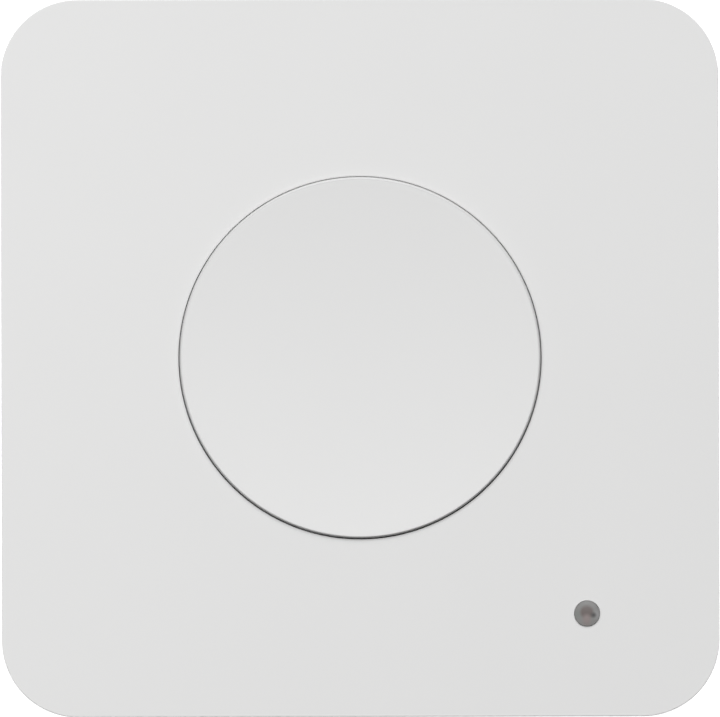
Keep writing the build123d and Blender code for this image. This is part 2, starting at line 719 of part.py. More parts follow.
def reset_switch_frame():
    """The steel bracket in front of the reset switch."""
    x = RESET_X
    frame = block((x - 3, x + 3), (38.0, 38.3), (BOARD_HIGH, BOARD_HIGH + 6))
    frame += block((x - 3, x + 3), (34.6, 38.3), (BOARD_HIGH + 6, BOARD_HIGH + 6.3))
    return frame - rod_y(1.9, x, RESET_Z, 37, 39)


def reset_switch_plunger():
    """The reset plunger, which a pin pushes through the small hole in the panel."""
    return rod_y(1.75, RESET_X, RESET_Z, 37.9, 41.5) + rod_y(2.1, RESET_X, RESET_Z, RESET_FOOT_Y, 37.9)


def reset_switch_legs():
    """The reset switch's two legs, under its body."""
    low = BOARD_LOW - PIN_TAIL
    return group(block((x - 0.3, x + 0.3), (y - 0.2, y + 0.2), (low, BOARD_HIGH)) for x, y in reset_pins())


# ---------------------------------------------------------------- status lamp


def lamp_pins():
    """Where the status lamp's two leads go through the board."""
    return [(LAMP_AT[0] + side * LAMP_PITCH / 2, LAMP_AT[1]) for side in (-1, 1)]


def lamp_frame():
    """The two lamp leads, the right one ending in the cup that holds the light source."""
    x, y = LAMP_AT
    half = 0.25
    bend = LAMP_LOW + 0.8
    inward = 0.75  # the leads come closer together inside the lens
    leads = []
    for side, top in ((-1, LAMP_LOW + 3.0), (1, LAMP_LOW + 2.2)):
        foot = x + side * LAMP_PITCH / 2
        head = x + side * inward
        lead = block((foot - half, foot + half), (y - half, y + half), (BOARD_LOW - PIN_TAIL, bend))
        step = sorted((foot + side * half, head - side * half))
        lead += block(step, (y - half, y + half), (bend - 0.5, bend))
        lead += block((head - half, head + half), (y - half, y + half), (bend - 0.5, top))
        leads.append(lead)
    cup_low, cup_high = LAMP_LOW + 2.2, LAMP_LOW + 2.9
    cup = rod(0.62, cup_low, cup_high, (x + 0.2, y))
    bowl_low = cup_low + 0.35
    bowl = Pos(x + 0.2, y, 0) * turned([(0, bowl_low), (0.25, bowl_low), (0.52, cup_high), (0, cup_high)])
    leads[1] += cup - bowl
    post = block((x - inward - half, x - 0.55), (y - half, y + half), (LAMP_LOW + 2.6, LAMP_LOW + 3.0))
    leads[0] += post
    return leads


def status_lamp_leads():
    """Both leads of the status lamp."""
    return group(lamp_frame())


def status_lamp_chip():
    """The light source, a tiny chip in the lamp's cup."""
    return chip((0.34, 0.34, 0.15), (LAMP_AT[0] + 0.2, LAMP_AT[1]), LAMP_LOW + 2.55)


def status_lamp_lens():
    """The clear epoxy body of the lamp, moulded around its leads."""
    shoulder = (LAMP_R, LAMP_HIGH - LAMP_DOME)
    dome_r = (LAMP_R**2 + LAMP_DOME**2) / (2 * LAMP_DOME)
    collar_high = LAMP_LOW + 1
    with BuildSketch(Plane.XZ) as outline:
        with BuildLine():
            Polyline(
                (0, LAMP_LOW),
                (LAMP_COLLAR_R, LAMP_LOW),
                (LAMP_COLLAR_R, collar_high),
                (LAMP_R, collar_high),
                shoulder,
            )
            RadiusArc(shoulder, (0, LAMP_HIGH), -dome_r)
            Line((0, LAMP_HIGH), (0, LAMP_LOW))
        make_face()
    lens = Pos(*LAMP_AT, 0) * revolve(outline.sketch, Axis.Z)
    for lead in lamp_frame():
        lens -= lead
    return lens - status_lamp_chip()


def status_lamp_spacer():
    """The nylon spacer that holds the lamp up at the face."""
    x, y = LAMP_AT
    spacer = rod(2.4, BOARD_HIGH, LAMP_LOW, LAMP_AT)
    for px, _ in lamp_pins():
        spacer -= block((px - 0.4, px + 0.4), (y - 0.4, y + 0.4), (BOARD_HIGH, LAMP_LOW))
    return spacer - block((x - 1.6, x + 1.6), (y - 3, y - 1.2), (BOARD_HIGH, BOARD_HIGH + 1.2))


# ---------------------------------------------------------------- radios


def radio_board(size, at):
    """A small radio board with half holes along its long sides."""
    low, high = BOARD_HIGH, BOARD_HIGH + size[2]
    board = chip(size, at)
    long_x = size[0] > size[1]
    length, width = (size[0], size[1]) if long_x else (size[1], size[0])
    for i in range(int((length - 8) / LEG_PITCH)):
        along = length / 2 - 1.6 - LEG_PITCH * i
        for side in (-1, 1):
            across = side * width / 2
            place = (at[0] - along, at[1] + across) if long_x else (at[0] + across, at[1] + along)
            board -= rod(0.3, low, high, place)
    return board


def shield_can(size, at, low, sheet=0.2):
    """A drawn steel lid over a radio, with rounded corners and open below."""
    can = slab(size[0], size[1], 0.8, low, low + size[2], at)
    return can - slab(size[0] - 2 * sheet, size[1] - 2 * sheet, 0.6, low, low + size[2] - sheet, at)


def mesh_radio_board():
    """The mesh radio's board, at the right."""
    return radio_board(MESH_BOARD, MESH_AT)


def mesh_radio_shield():
    """The mesh radio's shield, over the inner end of its board."""
    return shield_can((14.5, 13.0, 2.2), (MESH_AT[0] - 3.0, MESH_AT[1]), BOARD_HIGH + MESH_BOARD[2])


def wlan_board():
    """The network radio's board, at the front left."""
    return radio_board(WLAN_BOARD, WLAN_AT)


def wlan_shield():
    """The network radio's shield, over the rear end of its board."""
    return shield_can((12.4, 11.0, 2.0), (WLAN_AT[0], WLAN_AT[1] + 2.4), BOARD_HIGH + WLAN_BOARD[2])


def meander(count, pitch, run, width):
    """A folded copper track that goes along +X from the origin: each fold is run long."""
    points = [(0.0, 0.0)]
    for i in range(count):
        across = run if i % 2 == 0 else 0.0
        points += [(i * pitch, across), ((i + 1) * pitch, across)]
    track = []
    for (x0, y0), (x1, y1) in zip(points, points[1:]):
        size = (abs(x1 - x0) + width, abs(y1 - y0) + width)
        track.append(Pos((x0 + x1) / 2, (y0 + y1) / 2) * Rectangle(*size))
    outline = track[0]
    for piece in track[1:]:
        outline += piece
    return extrude(outline, 0.05)


def mesh_radio_antenna():
    """The folded track at the outer end of the mesh radio's board."""
    low = BOARD_HIGH + MESH_BOARD[2]
    return Pos(MESH_AT[0] + 10.8, MESH_AT[1] - 6.2, low) * Rot(0, 0, 90) * meander(9, 1.35, 4.6, 0.5)


def wlan_antenna():
    """The folded track at the outer end of the network radio's board."""
    low = BOARD_HIGH + WLAN_BOARD[2]
    return Pos(WLAN_AT[0] - 5.4, WLAN_AT[1] - 8.2, low) * meander(8, 1.35, 3.6, 0.5)


# ---------------------------------------------------------------- chips and small parts


def processor_chip():
    return chip(PROCESSOR, PROCESSOR_AT)


def memory_chip():
    return chip(MEMORY, MEMORY_AT)


def thermal_pad():
    """The soft pad that carries the processor's heat to the lid above it."""
    thickness = SHIELD[2] - SHIELD_SHEET - PROCESSOR[2]
    return chip((THERMAL_PAD, THERMAL_PAD, thickness), PROCESSOR_AT, BOARD_HIGH + PROCESSOR[2])


def processor_shield_frame():
    """The soldered fence around the processor and its memory."""
    high = BOARD_HIGH + SHIELD[2] - SHIELD_SHEET
    outer = slab(SHIELD[0], SHIELD[1], 0.8, BOARD_HIGH, high, PROCESSOR_AT)
    inner = (SHIELD[0] - 2 * SHIELD_SHEET, SHIELD[1] - 2 * SHIELD_SHEET)
    return outer - slab(*inner, 0.8 - SHIELD_SHEET, BOARD_HIGH, high, PROCESSOR_AT)


def processor_shield_lid():
    """The lid that snaps over the fence, with rows of small holes."""
    low = BOARD_HIGH + SHIELD[2] - SHIELD_SHEET
    high = BOARD_HIGH + SHIELD[2]
    skirt = low - 1.2
    room = 0.1  # between the fence and the lid's skirt, across the whole lid
    outer = [side + room + 2 * SHIELD_SHEET for side in SHIELD[:2]]
    inner = [side + room for side in SHIELD[:2]]
    lid = slab(*outer, 1.0, skirt, high, PROCESSOR_AT)
    lid -= slab(*inner, 0.8, skirt, low, PROCESSOR_AT)
    for i in range(-4, 5):
        for side in (-1, 1):
            lid -= rod(0.6, low, high, (PROCESSOR_AT[0] + 2.6 * i, PROCESSOR_AT[1] + 10.5 * side))
    return lid


def gull_legs(centre, body_half, rows):
    """Bent legs in two rows, on the left and right of a chip's body."""
    thick = 0.2
    root_low = BOARD_HIGH + 0.7
    legs = []
    for side in (-1, 1):
        for i in range(rows):
            y = centre[1] + (i - (rows - 1) / 2) * LEG_PITCH
            knee = centre[0] + side * (body_half + 0.45)
            toe = centre[0] + side * (body_half + 1.2)
            root = centre[0] + side * body_half
            across = (y - LEG_WIDTH / 2, y + LEG_WIDTH / 2)
            leg = block(sorted((root, knee)), across, (root_low, root_low + thick))
            leg += block(sorted((knee - side * thick, knee)), across, (BOARD_HIGH, root_low + thick))
            leg += block(sorted((knee - side * thick, toe)), across, (BOARD_HIGH, BOARD_HIGH + thick))
            legs.append(leg)
    return legs


def flash_chip():
    body = chip(FLASH, FLASH_AT, BOARD_HIGH + 0.1)
    return chamfer(body.edges().group_by(Axis.Z)[-1], 0.25)


def flash_chip_legs():
    return group(gull_legs(FLASH_AT, FLASH[0] / 2, 4))


def ethernet_transformer():
    """The block of small transformers between the socket and the network chip."""
    body = chip(TRANSFORMER, TRANSFORMER_AT, BOARD_HIGH + 0.1)
    return chamfer(body.edges().group_by(Axis.Z)[-1], 0.3)


def ethernet_transformer_legs():
    return group(gull_legs(TRANSFORMER_AT, TRANSFORMER[0] / 2, 8))


def network_chip():
    return chip(NETWORK_CHIP, NETWORK_CHIP_AT)


def regulator_chips():
    """The two step-down converters by the power inlet."""
    return group([chip(CONVERTER, (CONVERTER_X, y)) for y in SUPPLY_ROWS])


def power_inductors():
    """Two shielded coils, one beside each converter."""
    coils = []
    for y in SUPPLY_ROWS:
        coil = slab(INDUCTOR, INDUCTOR, 1.2, BOARD_HIGH, BOARD_HIGH + 3.0, (INDUCTOR_X, y))
        coils.append(chamfer(coil.faces().sort_by(Axis.Z)[-1].edges(), 0.3))
    return group(coils)


def electrolytic_sleeves():
    """The aluminium cans of three capacitors, with the rolled groove near the foot."""
    low, high = BOARD_HIGH + 0.9, BOARD_HIGH + 6.0
    profile = [(0, low), (CAN_R, low), (CAN_R, low + 0.8), (CAN_R - 0.3, low + 1.1), (CAN_R, low + 1.4)]
    profile += [(CAN_R, high - 0.3), (CAN_R - 0.3, high), (0, high)]
    return group(Pos(*place, 0) * turned(profile) for place in CAN_PLACES)


def electrolytic_bases():
    """The square plastic feet of the capacitors."""
    feet = []
    for x, y in CAN_PLACES:
        foot = chip((6.6, 6.6, 0.9), (x, y))
        feet.append(chamfer(foot.edges().filter_by(Axis.Z).sort_by(Axis.X)[:2], 1.1))
    return group(feet)


def crystals():
    """Three quartz crystals in small metal cans."""
    places = ((-31.0, 10.5), (-4.5, -12.5), (21.0, 8.5))
    return group(slab(3.2, 2.5, 0.4, BOARD_HIGH, BOARD_HIGH + 0.8, place) for place in places)


def header_pins():
    """Where the service header's four pins go through the board."""
    return [(HEADER_X, HEADER_Y + (i - 1.5) * 2.54) for i in range(4)]


def service_header():
    """The plastic block of the four-pin service header."""
    body = chip((2.5, 10.16, 2.5), (HEADER_X, HEADER_Y))
    for x, y in header_pins():
        body -= block((x - 0.33, x + 0.33), (y - 0.33, y + 0.33), (BOARD_HIGH, BOARD_HIGH + 2.5))
    return body


def service_header_pins():
    """Four square pins through the service header."""
    span = (BOARD_LOW - PIN_TAIL, BOARD_HIGH + 8.4)
    return group(block((x - 0.32, x + 0.32), (y - 0.32, y + 0.32), span) for x, y in header_pins())


def ceramic_capacitors():
    """Small ceramic capacitors around the processor, the converters and the radios."""
    places = [(-32.0 + 2.2 * i, 12.5 - 2.2 * (i % 2)) for i in range(5, 11)]
    places += [(0.5 + 2.2 * i, 22.2) for i in range(8)]
    places += [(16.2, -10.0 + 2.2 * i) for i in range(6)]
    places += [(-10.5 + 2.2 * i, -26.0) for i in range(6)]
    return group(chip((0.8, 1.6, 0.8), place) for place in places)


def chip_resistors():
    """Thin chip resistors in rows near the chips that use them."""
    places = [(-36.0, 8.0 + 1.6 * i) for i in range(6)]
    places += [(-25.0, 17.0 + 1.6 * i) for i in range(5)]
    places += [(8.5 + 1.6 * i, -30.0) for i in range(7)]
    places += [(26.0 + 1.8 * i, 12.0) for i in range(5)]
    upright, flat = (0.8, 1.6, 0.45), (1.6, 0.8, 0.45)
    return group(chip(upright if place[0] > 0 else flat, place) for place in places)


# ---------------------------------------------------------------- every node


NODES = {
    "top_cover": top_cover,
    "base_cover": base_cover,
    "port_panel": port_panel,
    "rubber_feet": rubber_feet,
    "rating_label": rating_label,
    "case_screws": case_screws,
    "centre_button": centre_button,
    "button_carrier": button_carrier,
    "button_bumper_ring": button_bumper_ring,
    "carrier_screws": carrier_screws,
    "press_switch_base": press_switch_base,
    "press_switch_cover": press_switch_cover,
    "press_switch_plunger": press_switch_plunger,
    "press_switch_dome": press_switch_dome,
    "press_switch_terminals": press_switch_terminals,
    "main_board": main_board,
    "board_screws": board_screws,
    "ethernet_housing": ethernet_housing,
    "ethernet_shield": ethernet_shield,
    "ethernet_contacts": ethernet_contacts,
    "ethernet_lights": ethernet_lights,
    "power_inlet_shell": power_inlet_shell,
    "power_inlet_tongue": power_inlet_tongue,
    "power_inlet_contacts": power_inlet_contacts,
    "reset_switch_body": reset_switch_body,
    "reset_switch_frame": reset_switch_frame,
    "reset_switch_plunger": reset_switch_plunger,
    "reset_switch_legs": reset_switch_legs,
    "status_lamp_lens": status_lamp_lens,
    "status_lamp_leads": status_lamp_leads,
    "status_lamp_chip": status_lamp_chip,
    "status_lamp_spacer": status_lamp_spacer,
    "mesh_radio_board": mesh_radio_board,
    "mesh_radio_shield": mesh_radio_shield,
    "mesh_radio_antenna": mesh_radio_antenna,
    "wlan_board": wlan_board,
    "wlan_shield": wlan_shield,
    "wlan_antenna": wlan_antenna,
    "processor_chip": processor_chip,
    "memory_chip": memory_chip,
    "thermal_pad": thermal_pad,
    "processor_shield_frame": processor_shield_frame,
    "processor_shield_lid": processor_shield_lid,
    "flash_chip": flash_chip,
    "flash_chip_legs": flash_chip_legs,
    "ethernet_transformer": ethernet_transformer,
    "ethernet_transformer_legs": ethernet_transformer_legs,
    "network_chip": network_chip,
    "regulator_chips": regulator_chips,
    "power_inductors": power_inductors,
    "electrolytic_sleeves": electrolytic_sleeves,
    "electrolytic_bases": electrolytic_bases,
    "crystals": crystals,
    "service_header": service_header,
    "service_header_pins": service_header_pins,
    "ceramic_capacitors": ceramic_capacitors,
    "chip_resistors": chip_resistors,
}

os.makedirs("parts", exist_ok=True)
for name, make in NODES.items():
    export_step(make(), f"parts/{name}.step")
for number, angle in enumerate(POST_ANGLES, 1):
    export_step(return_spring(angle), f"parts/return_spring_{number}.step")
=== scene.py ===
"""How the smart home hub looks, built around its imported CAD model.

Lengths in this file are in millimetres until a mesh is made, which is in metres.
"""

import json
from math import asin, cos, degrees, pi, radians, sin

import bmesh
import bpy
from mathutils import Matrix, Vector


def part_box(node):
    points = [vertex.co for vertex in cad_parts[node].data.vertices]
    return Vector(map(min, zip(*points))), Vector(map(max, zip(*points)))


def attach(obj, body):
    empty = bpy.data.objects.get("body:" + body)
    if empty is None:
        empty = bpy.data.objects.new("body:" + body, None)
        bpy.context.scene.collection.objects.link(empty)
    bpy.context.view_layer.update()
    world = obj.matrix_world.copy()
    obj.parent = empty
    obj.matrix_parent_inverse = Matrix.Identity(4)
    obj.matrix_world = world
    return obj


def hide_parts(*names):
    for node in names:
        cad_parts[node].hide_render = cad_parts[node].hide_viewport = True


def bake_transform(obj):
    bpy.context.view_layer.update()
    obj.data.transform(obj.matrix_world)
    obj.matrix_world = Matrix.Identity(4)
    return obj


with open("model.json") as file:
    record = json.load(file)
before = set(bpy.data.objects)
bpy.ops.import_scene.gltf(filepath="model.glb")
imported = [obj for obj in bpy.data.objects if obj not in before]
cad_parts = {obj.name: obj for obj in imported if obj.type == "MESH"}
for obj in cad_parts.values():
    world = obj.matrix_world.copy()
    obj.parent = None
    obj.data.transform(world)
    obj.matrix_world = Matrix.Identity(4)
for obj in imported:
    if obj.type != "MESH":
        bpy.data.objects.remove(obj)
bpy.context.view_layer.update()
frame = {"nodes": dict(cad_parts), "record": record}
MM = 0.001


def node_box(node):
    """The lowest and highest corner of a CAD node, in millimetres."""
    low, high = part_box(node)
    return low / MM, high / MM


# ---------------------------------------------------------------- sizes

COVER_LOW, COVER_TOP = node_box("top_cover")
BODY = COVER_TOP.x - COVER_LOW.x
FACE_HIGH = COVER_TOP.z
SKIRT_LOW = COVER_LOW.z
DRAFT = 0.2
CORNER_R = 9.6
EDGE_R = 0.12
WALL = 2.0
CEILING = FACE_HIGH - WALL
INSIDE = BODY - 2 * WALL

BUTTON_R = 22.57
BUTTON_AT = (0.0, 0.04)
BUTTON_HIGH = FACE_HIGH + 0.4
BUTTON_RIM_WIDE, BUTTON_RIM_DROP = 0.3, 0.6
OPENING_R = BUTTON_R + 0.08
OPENING_RIM_R = 0.1
DISH_DEPTH = 0.6
RIB_HALF = 0.6
STEM_R = 2.8
POST_R = 1.45
SPRING_SEAT_R = 3.0
BUTTON_CEILING = 23.7
SKIRT_IN_R = 20.9
FLANGE_R = 24.2
FLANGE_LOW, FLANGE_HIGH = 20.4, 21.6
COLLAR_R = 24.6
COLLAR_LOW = FLANGE_HIGH + 0.1
POST_ANGLES = (30, 150, 270)
POST_AT_R = 16.0
POST_LOW = 14.4
EAR_ANGLES = (90, 210, 330)
EAR_AT_R = 29.5
EAR_R, EAR_LOW, EAR_PILOT_R = 2.6, 17.3, 1.05
CASE_SCREW_AT = 36.5
CASE_BOSS_R, CASE_BOSS_LOW, CASE_PILOT_R = 3.2, 6.1, 1.55
PANEL_GAP_WIDE, PANEL_GAP_HIGH, PANEL_GAP_R, PANEL_GAP_MIDDLE = 50.0, 44.0, 1.6, 0.6

LENS_LOW, LENS_TOP = node_box("status_lamp_lens")
LAMP_AT = ((LENS_LOW.x + LENS_TOP.x) / 2, (LENS_LOW.y + LENS_TOP.y) / 2)
LAMP_R = 1.57
LAMP_DOME = 0.25
LAMP_COLLAR_R = 1.9
LAMP_HOLE_R = 1.6
LAMP_HOLE_BEVEL = 0.04
LAMP_GUIDE_R, LAMP_GUIDE_IN_R = 3.2, 2.15

# ---------------------------------------------------------------- mesh helpers


def new_object(name, bm, smooth_below=32):
    """An object from a bmesh in millimetres, shaded smooth except over edges sharper than an angle."""
    bmesh.ops.scale(bm, vec=(MM, MM, MM), verts=bm.verts)
    bmesh.ops.recalc_face_normals(bm, faces=bm.faces)
    mesh = bpy.data.meshes.new(name)
    bm.to_mesh(mesh)
    bm.free()
    shade(mesh, smooth_below)
    made = bpy.data.objects.new(name, mesh)
    bpy.context.scene.collection.objects.link(made)
    return made


def shade(mesh, smooth_below=32):
    """Smooth shading, kept sharp over edges that turn by more than an angle."""
    mesh.shade_smooth()
    mesh.set_sharp_from_angle(angle=radians(smooth_below))


def outline(half_x, half_y, radius, at=(0, 0), steps=24):
    """The points of a rounded rectangle, with a number of steps round each corner."""
    points = []
    for quarter, (sx, sy) in enumerate(((1, 1), (-1, 1), (-1, -1), (1, -1))):
        centre = (at[0] + sx * (half_x - radius), at[1] + sy * (half_y - radius))
        for i in range(steps + 1):
            angle = pi / 2 * (quarter + i / steps)
            points.append((centre[0] + radius * cos(angle), centre[1] + radius * sin(angle)))
    return points


def stack(bm, layers):
    """Adds a closed solid through outlines of (points, height), from the lowest to the highest."""
    rings = [[bm.verts.new((x, y, z)) for x, y in points] for points, z in layers]
    bm.faces.new(list(reversed(rings[0])))
    bm.faces.new(rings[-1])
    for lower, upper in zip(rings, rings[1:]):
        for i in range(len(lower)):
            j = (i + 1) % len(lower)
            bm.faces.new((lower[i], lower[j], upper[j], upper[i]))


def lathe(bm, profile, at=(0, 0), segments=192):
    """Adds a solid turned about an upright axis, from (radius, height) points that run from axis to axis."""
    poles = [bm.verts.new((at[0], at[1], profile[i][1])) for i in (0, -1)]
    rings = []
    for radius, z in profile[1:-1]:
        ring = []
        for i in range(segments):
            angle = 2 * pi * i / segments
            ring.append(bm.verts.new((at[0] + radius * cos(angle), at[1] + radius * sin(angle), z)))
        rings.append(ring)
    for i in range(segments):
        j = (i + 1) % segments
        bm.faces.new((poles[0], rings[0][j], rings[0][i]))
        bm.faces.new((poles[1], rings[-1][i], rings[-1][j]))
        for lower, upper in zip(rings, rings[1:]):
            bm.faces.new((lower[i], lower[j], upper[j], upper[i]))


def rod(bm, radius, low, high, at=(0, 0), segments=64):
    """Adds an upright cylinder."""
    lathe(bm, [(0, low), (radius, low), (radius, high), (0, high)], at, segments)


def bar(bm, x, y, z, turn=0):
    """Adds a box from its range along each axis, turned about the upright axis by an angle in degrees."""
    c, s = cos(radians(turn)), sin(radians(turn))
    layers = []
    for height in z:
        square = ((x[0], y[0]), (x[1], y[0]), (x[1], y[1]), (x[0], y[1]))
        layers.append(([(px * c - py * s, px * s + py * c) for px, py in square], height))
    stack(bm, layers)


def arc(centre, radius, start, end, steps):
    """Points of an arc in a profile, from one angle to another, in degrees."""
    points = []
    for i in range(steps + 1):
        angle = radians(start + (end - start) * i / steps)
        points.append((centre[0] + radius * cos(angle), centre[1] + radius * sin(angle)))
    return points


def around(radius, angle):
    """The point at a radius and an angle in degrees from the upright axis."""
    return radius * cos(radians(angle)), radius * sin(radians(angle))


def corners(x, y):
    """The four points at plus or minus x and y."""
    return [(sx * x, sy * y) for sx in (-1, 1) for sy in (-1, 1)]


def combined(target, steps, smooth_below=32):
    """Applies a list of (operation, bmesh) booleans to an object, and shades what comes out."""
    tools = []
    for operation, bm in steps:
        tool = new_object(f"{target.name}_tool_{len(tools)}", bm)
        modifier = target.modifiers.new(tool.name, "BOOLEAN")
        modifier.operation = operation
        modifier.solver = "EXACT"
        modifier.object = tool
        tools.append(tool)
    bpy.context.view_layer.update()
    graph = bpy.context.evaluated_depsgraph_get()
    mesh = bpy.data.meshes.new_from_object(target.evaluated_get(graph))
    target.modifiers.clear()
    target.data = mesh
    for tool in tools:
        bpy.data.meshes.remove(tool.data)
    shade(mesh, smooth_below)
    return target


def weighted(target):
    """Lets large faces rule the shading, so that flat faces beside small rounds stay flat."""
    modifier = target.modifiers.new("weighted_normals", "WEIGHTED_NORMAL")
    modifier.keep_sharp = True
    modifier.weight = 100
    return target


# ---------------------------------------------------------------- material kit


class Paint:
    """One procedural material, whose patterns are sized in millimetres."""

    def __init__(self, name, metallic=0.0, roughness=0.5):
        self.material = bpy.data.materials.new(name)
        self.material.use_nodes = True
        self.tree = self.material.node_tree
        self.shader = self.tree.nodes["Principled BSDF"]
        self.shader.inputs["Metallic"].default_value = metallic
        self.shader.inputs["Roughness"].default_value = roughness
        self.place = self.add("ShaderNodeTexCoord").outputs["Object"]

    def add(self, kind, inputs=None, **settings):
        node = self.tree.nodes.new(kind)
        for key, value in settings.items():
            setattr(node, key, value)
        for key, value in (inputs or {}).items():
            if isinstance(value, bpy.types.NodeSocket):
                self.tree.links.new(value, node.inputs[key])
            else:
                node.inputs[key].default_value = value
        return node

    def set(self, socket, value):
        """Links or sets one of the shader's sockets."""
        if isinstance(value, bpy.types.NodeSocket):
            self.tree.links.new(value, self.shader.inputs[socket])
        else:
            self.shader.inputs[socket].default_value = value

    def stretched(self, stretch):
        """The place on the object, with the pattern stretched along each axis."""
        scale = tuple(1 / s for s in stretch)
        mapping = self.add("ShaderNodeMapping", {"Vector": self.place, "Scale": scale})
        return mapping.outputs["Vector"]

    def noise(self, size, detail=2.0, rough=0.5, stretch=None):
        """Soft noise, from 0 to 1, whose blobs are about this many millimetres across."""
        place = self.stretched(stretch) if stretch else self.place
        inputs = {"Vector": place, "Scale": 1 / (size * MM), "Detail": detail, "Roughness": rough}
        return self.add("ShaderNodeTexNoise", inputs).outputs["Fac"]

    def cells(self, size, feature="F1", output="Distance"):
        inputs = {"Vector": self.place, "Scale": 1 / (size * MM)}
        return self.add("ShaderNodeTexVoronoi", inputs, feature=feature).outputs[output]

    def axis(self, name):
        """One coordinate of the place, in metres."""
        return self.add("ShaderNodeSeparateXYZ", {"Vector": self.place}).outputs[name]

    def off_axis(self):
        """Distance from the object's upright axis, in metres."""
        flat = self.add("ShaderNodeVectorMath", {0: self.place, 1: (1, 1, 0)}, operation="MULTIPLY")
        length = self.add("ShaderNodeVectorMath", {0: flat.outputs["Vector"]}, operation="LENGTH")
        return length.outputs["Value"]

    def near(self, place, inside, outside):
        """1 within a distance of a place, falling to 0 further away, in millimetres."""
        away = self.add("ShaderNodeVectorMath", {0: self.place, 1: Vector(place) * MM}, operation="DISTANCE")
        return self.between(away.outputs["Value"], 1.0, 0.0, inside * MM, outside * MM)

    def maths(self, operation, a, b=0.0):
        return self.add("ShaderNodeMath", {0: a, 1: b}, operation=operation).outputs[0]

    def between(self, value, low, high, start=0.0, end=1.0):
        """Maps a value that runs from start to end onto low to high."""
        inputs = {"Value": value, "From Min": start, "From Max": end, "To Min": low, "To Max": high}
        return self.add("ShaderNodeMapRange", inputs).outputs["Result"]

    def mix(self, share, a, b):
        """Mixes two colours."""
        node = self.add("ShaderNodeMix", data_type="RGBA")
        for key, value in (("Factor", share), ("A", a), ("B", b)):
            socket = next(s for s in node.inputs if s.name == key and s.enabled)
            if isinstance(value, bpy.types.NodeSocket):
                self.tree.links.new(value, socket)
            else:
                socket.default_value = value if key == "Factor" else (*value, 1.0)
        return next(s for s in node.outputs if s.enabled)

    def bump(self, height, depth):
        """Adds relief of this many millimetres to whatever relief is there."""
        inputs = {"Height": height, "Distance": depth * MM}
        links = self.shader.inputs["Normal"].links
        if links:
            inputs["Normal"] = links[0].from_socket
        node = self.add("ShaderNodeBump", inputs)
        self.tree.links.new(node.outputs["Normal"], self.shader.inputs["Normal"])

    def shades(self, share, dark, light):
        """Sets the base colour to a mix of two colours."""
        self.set("Base Color", self.mix(share, dark, light))

    def roughness(self, share, low, high):
        self.set("Roughness", self.between(share, low, high))


def grey(value):
    return (value, value, value)


# ---------------------------------------------------------------- materials

WHITE = (0.765, 0.765, 0.762)


def tinted(colour, factor):
    return tuple(c * factor for c in colour)


def white_moulding(name, grain=1.0, dust_and_shade=None):
    """White moulded plastic: a faint cloudiness and the fine grain of a spark-eroded mould.

    Painted shade greys it by a factor at one radius from the upright axis, and fades out towards another,
    standing in for the shade in the gap round the button.
    """
    paint = Paint(name)
    colour = paint.mix(paint.noise(18.0, 3.0), tinted(WHITE, 0.992), tinted(WHITE, 1.008))
    # Painted shade: a darker colour next to the button's gap, in place of the shade that falls in it.
    if dust_and_shade:
        factor, shaded_r, unshaded_r = dust_and_shade
        share = paint.between(paint.off_axis(), 1.0, 0.0, shaded_r * MM, unshaded_r * MM)
        colour = paint.mix(share, colour, tinted(WHITE, factor))
    paint.set("Base Color", colour)
    paint.roughness(paint.noise(0.9, 3.0), 0.47, 0.57)
    paint.set("Specular IOR Level", 0.34)
    paint.bump(paint.noise(0.35, 2.0), 0.0022 * grain)
    paint.bump(paint.noise(9.0, 1.0), 0.006)
    return paint.material


def plain_moulding(name, colour, fleck=0.08, roughness=(0.42, 0.6), grain=0.004):
    """Any other moulded plastic, with flow marks and a fine grain."""
    paint = Paint(name)
    flow = paint.noise(2.6, 4.0, 0.6, stretch=(1, 1, 3))
    paint.shades(flow, tinted(colour, 1 - fleck), tinted(colour, 1 + fleck))
    paint.roughness(paint.noise(0.5, 3.0), *roughness)
    paint.bump(paint.noise(0.16, 2.0), grain)
    return paint.material


def rubber(name, colour, dust_and_shade=0.05):
    """Matt rubber with a pebbled skin and a little dust on it."""
    paint = Paint(name)
    speck = paint.between(paint.noise(0.35, 4.0, 0.7), 0.0, 1.0, 0.45, 0.75)
    paint.shades(speck, colour, tuple(c + dust_and_shade for c in colour))
    paint.roughness(paint.noise(1.2), 0.72, 0.9)
    paint.bump(paint.cells(0.3), 0.02)
    paint.set("Specular IOR Level", 0.3)
    return paint.material


def sheet_metal(name, colour, roughness=(0.22, 0.42), grain=(14, 1, 1), depth=0.002):
    """Rolled sheet or wire: fine lines along the grain, and cloudy tarnish."""
    paint = Paint(name, metallic=1.0)
    paint.shades(paint.noise(3.0, 4.0, 0.6), tinted(colour, 0.86), colour)
    lines = paint.noise(0.08, 3.0, 0.6, stretch=grain)
    paint.roughness(lines, *roughness)
    paint.bump(lines, depth)
    return paint.material


def circuit_board(name, mask, track):
    """Solder mask over copper: branching tracks, small vias and the weave of the laminate."""
    paint = Paint(name, roughness=0.28)
    tracks = paint.add("ShaderNodeTexBrick", {
        "Vector": paint.place, "Scale": 1 / (1.0 * MM), "Mortar Size": 0.09, "Mortar Smooth": 0.15,
        "Brick Width": 5.3, "Row Height": 0.62, "Bias": 0.0,
    }, offset=0.37, squash=0.6, squash_frequency=3).outputs["Fac"]
    patches = paint.between(paint.noise(7.0, 1.0), 0.0, 1.0, 0.47, 0.5)
    routed = paint.maths("MULTIPLY", tracks, patches)
    vias = paint.between(paint.cells(2.3), 1.0, 0.0, 0.09, 0.11)
    lines = paint.mix(routed, mask, track)
    paint.set("Base Color", paint.mix(paint.maths("MULTIPLY", vias, patches), lines, (0.62, 0.60, 0.50)))
    paint.bump(routed, 0.03)
    paint.bump(paint.noise(0.4, 2.0, 0.5, stretch=(3, 1, 1)), 0.004)
    return paint.material


